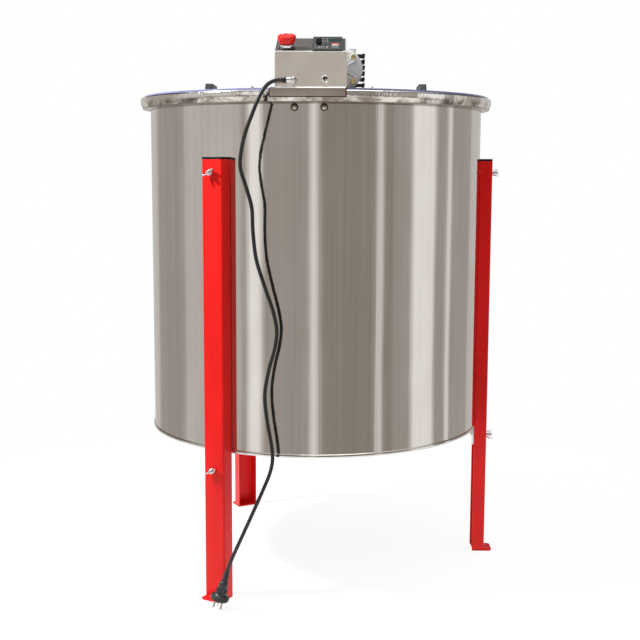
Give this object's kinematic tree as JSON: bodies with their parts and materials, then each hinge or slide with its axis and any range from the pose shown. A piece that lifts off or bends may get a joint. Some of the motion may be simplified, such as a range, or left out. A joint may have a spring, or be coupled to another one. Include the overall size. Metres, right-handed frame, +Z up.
{
  "type": "honey extractor",
  "caption": "Stainless honey extractor tank on bolted channel legs, with a motor-driven radial frame basket, hinged clear lids, a control head on a bridge and a honey gate.",
  "frame": {"origin": "middle of the object's base on the floor, measured without the mains lead; the tank's axis is 11.7 mm towards -X from it", "axes": "+Z up, -Y is the control side, the bridge runs along Y, one leg points along +X"},
  "size_m": [0.7647, 0.7715, 1.0906],
  "materials": {
    "stainless": "bright brushed",
    "satin_stainless": "satin",
    "zinc": "bright zinc plate",
    "red_paint": "gloss powder coat",
    "stop_red": "moulded",
    "cast_aluminium": "as cast",
    "black_anodised": "black anodised",
    "black_plastic": "fine texture",
    "panel_grey": "satin",
    "cord_pvc": "satin",
    "clear_acrylic": "polished",
    "display_window": "gloss",
    "bronze": "machined",
    "nickel": "bright nickel"
  },
  "bodies": {
    "frame": {"tank_wall": "stainless", "tank_rim": "stainless", "tank_floor": "stainless", "bridge_bracket_front": "stainless", "bridge_bracket_rear": "stainless", "hinge_fixed_left": "stainless", "hinge_fixed_right": "stainless", "gate_body": "stainless", "bridge": "satin_stainless", "control_box": "satin_stainless", "bridge_bolt_front_left": "zinc", "bridge_bolt_front_right": "zinc", "bridge_bolt_rear_left": "zinc", "bridge_bolt_rear_right": "zinc", "leg_bolt_upper_right": "zinc", "leg_bolt_upper_rear_left": "zinc", "leg_bolt_upper_front_left": "zinc", "leg_bolt_lower_right": "zinc", "leg_bolt_lower_rear_left": "zinc", "leg_bolt_lower_front_left": "zinc", "wing_nut_upper_right": "zinc", "wing_nut_upper_rear_left": "zinc", "wing_nut_upper_front_left": "zinc", "wing_nut_lower_right": "zinc", "wing_nut_lower_rear_left": "zinc", "wing_nut_lower_front_left": "zinc", "leg_right": "red_paint", "leg_rear_left": "red_paint", "leg_front_left": "red_paint", "motor_end_cover": "cast_aluminium", "gearbox_housing": "cast_aluminium", "motor_body": "black_anodised", "speed_controller": "black_plastic", "control_panel": "panel_grey", "power_cord": "cord_pvc", "power_plug": "cord_pvc", "lid_strip_left": "clear_acrylic", "lid_strip_right": "clear_acrylic", "display_window": "display_window", "bearing_cup": "bronze", "estop_base": "nickel", "toggle_bush": "nickel", "cable_gland": "nickel"},
    "basket": {"basket_shaft": "stainless", "basket_cage": "stainless", "shaft_coupling": "stainless", "output_gear": "bronze"},
    "worm": {"worm_shaft": "zinc"},
    "lid_left": {"lid_left": "clear_acrylic", "lid_handle_left": "black_plastic", "hinge_moving_left": "stainless"},
    "lid_right": {"lid_right": "clear_acrylic", "lid_handle_right": "black_plastic", "hinge_moving_right": "stainless"},
    "emergency_stop": {"estop_button": "stop_red"},
    "knob": {"speed_knob": "black_plastic"},
    "rocker": {"rocker_switch": "stop_red"},
    "toggle": {"toggle_lever": "nickel"},
    "gate": {"gate_blade": "stainless"},
    "clamp_screw": {"gate_screw": "zinc"}
  },
  "joints": [
    {"name": "basket_spin", "type": "hinge", "parent": "frame", "child": "basket", "pos_m": [-0.0117, 0, 0.64], "axis": [0, 0, 1], "continuous": true},
    {"name": "worm_spin", "type": "hinge", "parent": "frame", "child": "worm", "pos_m": [0.0423, 0, 1.0315], "axis": [0, 1, 0], "continuous": true},
    {"name": "lid_left_hinge", "type": "hinge", "parent": "frame", "child": "lid_left", "pos_m": [-0.1237, 0, 0.9915], "axis": [0, 1, 0], "range_deg": [0, 90]},
    {"name": "lid_right_hinge", "type": "hinge", "parent": "frame", "child": "lid_right", "pos_m": [0.1003, 0, 0.9915], "axis": [0, -1, 0], "range_deg": [0, 90]},
    {"name": "estop_press", "type": "slide", "parent": "frame", "child": "emergency_stop", "axis": [0, 0.3228, -0.9465], "range_m": [0, 0.0045], "stiffness_N_per_m": 900, "springref_m": -0.002},
    {"name": "speed_knob_turn", "type": "hinge", "parent": "frame", "child": "knob", "pos_m": [0.0007, -0.32408, 1.07029], "axis": [0, 0.3228, -0.9465], "range_deg": [0, 270]},
    {"name": "rocker_tilt", "type": "hinge", "parent": "frame", "child": "rocker", "pos_m": [0.031, -0.33986, 1.06079], "axis": [1, 0, 0], "range_deg": [0, 12]},
    {"name": "toggle_flip", "type": "hinge", "parent": "frame", "child": "toggle", "pos_m": [0.0123, -0.36, 1.0052], "axis": [-0.866, 0, -0.5], "range_deg": [0, 60]},
    {"name": "gate_swing", "type": "hinge", "parent": "frame", "child": "gate", "pos_m": [0.18545, 0.34147, 0.381], "axis": [0.5, 0.866, 0], "range_deg": [0, 90]},
    {"name": "clamp_screw_turn", "type": "hinge", "parent": "frame", "child": "clamp_screw", "pos_m": [0.18545, 0.34147, 0.381], "axis": [0.5, 0.866, 0], "range_deg": [0, 180]}
  ],
  "couplings": [
    {"joint": "worm_spin", "follows": "basket_spin", "ratio": 7.5}
  ]
}
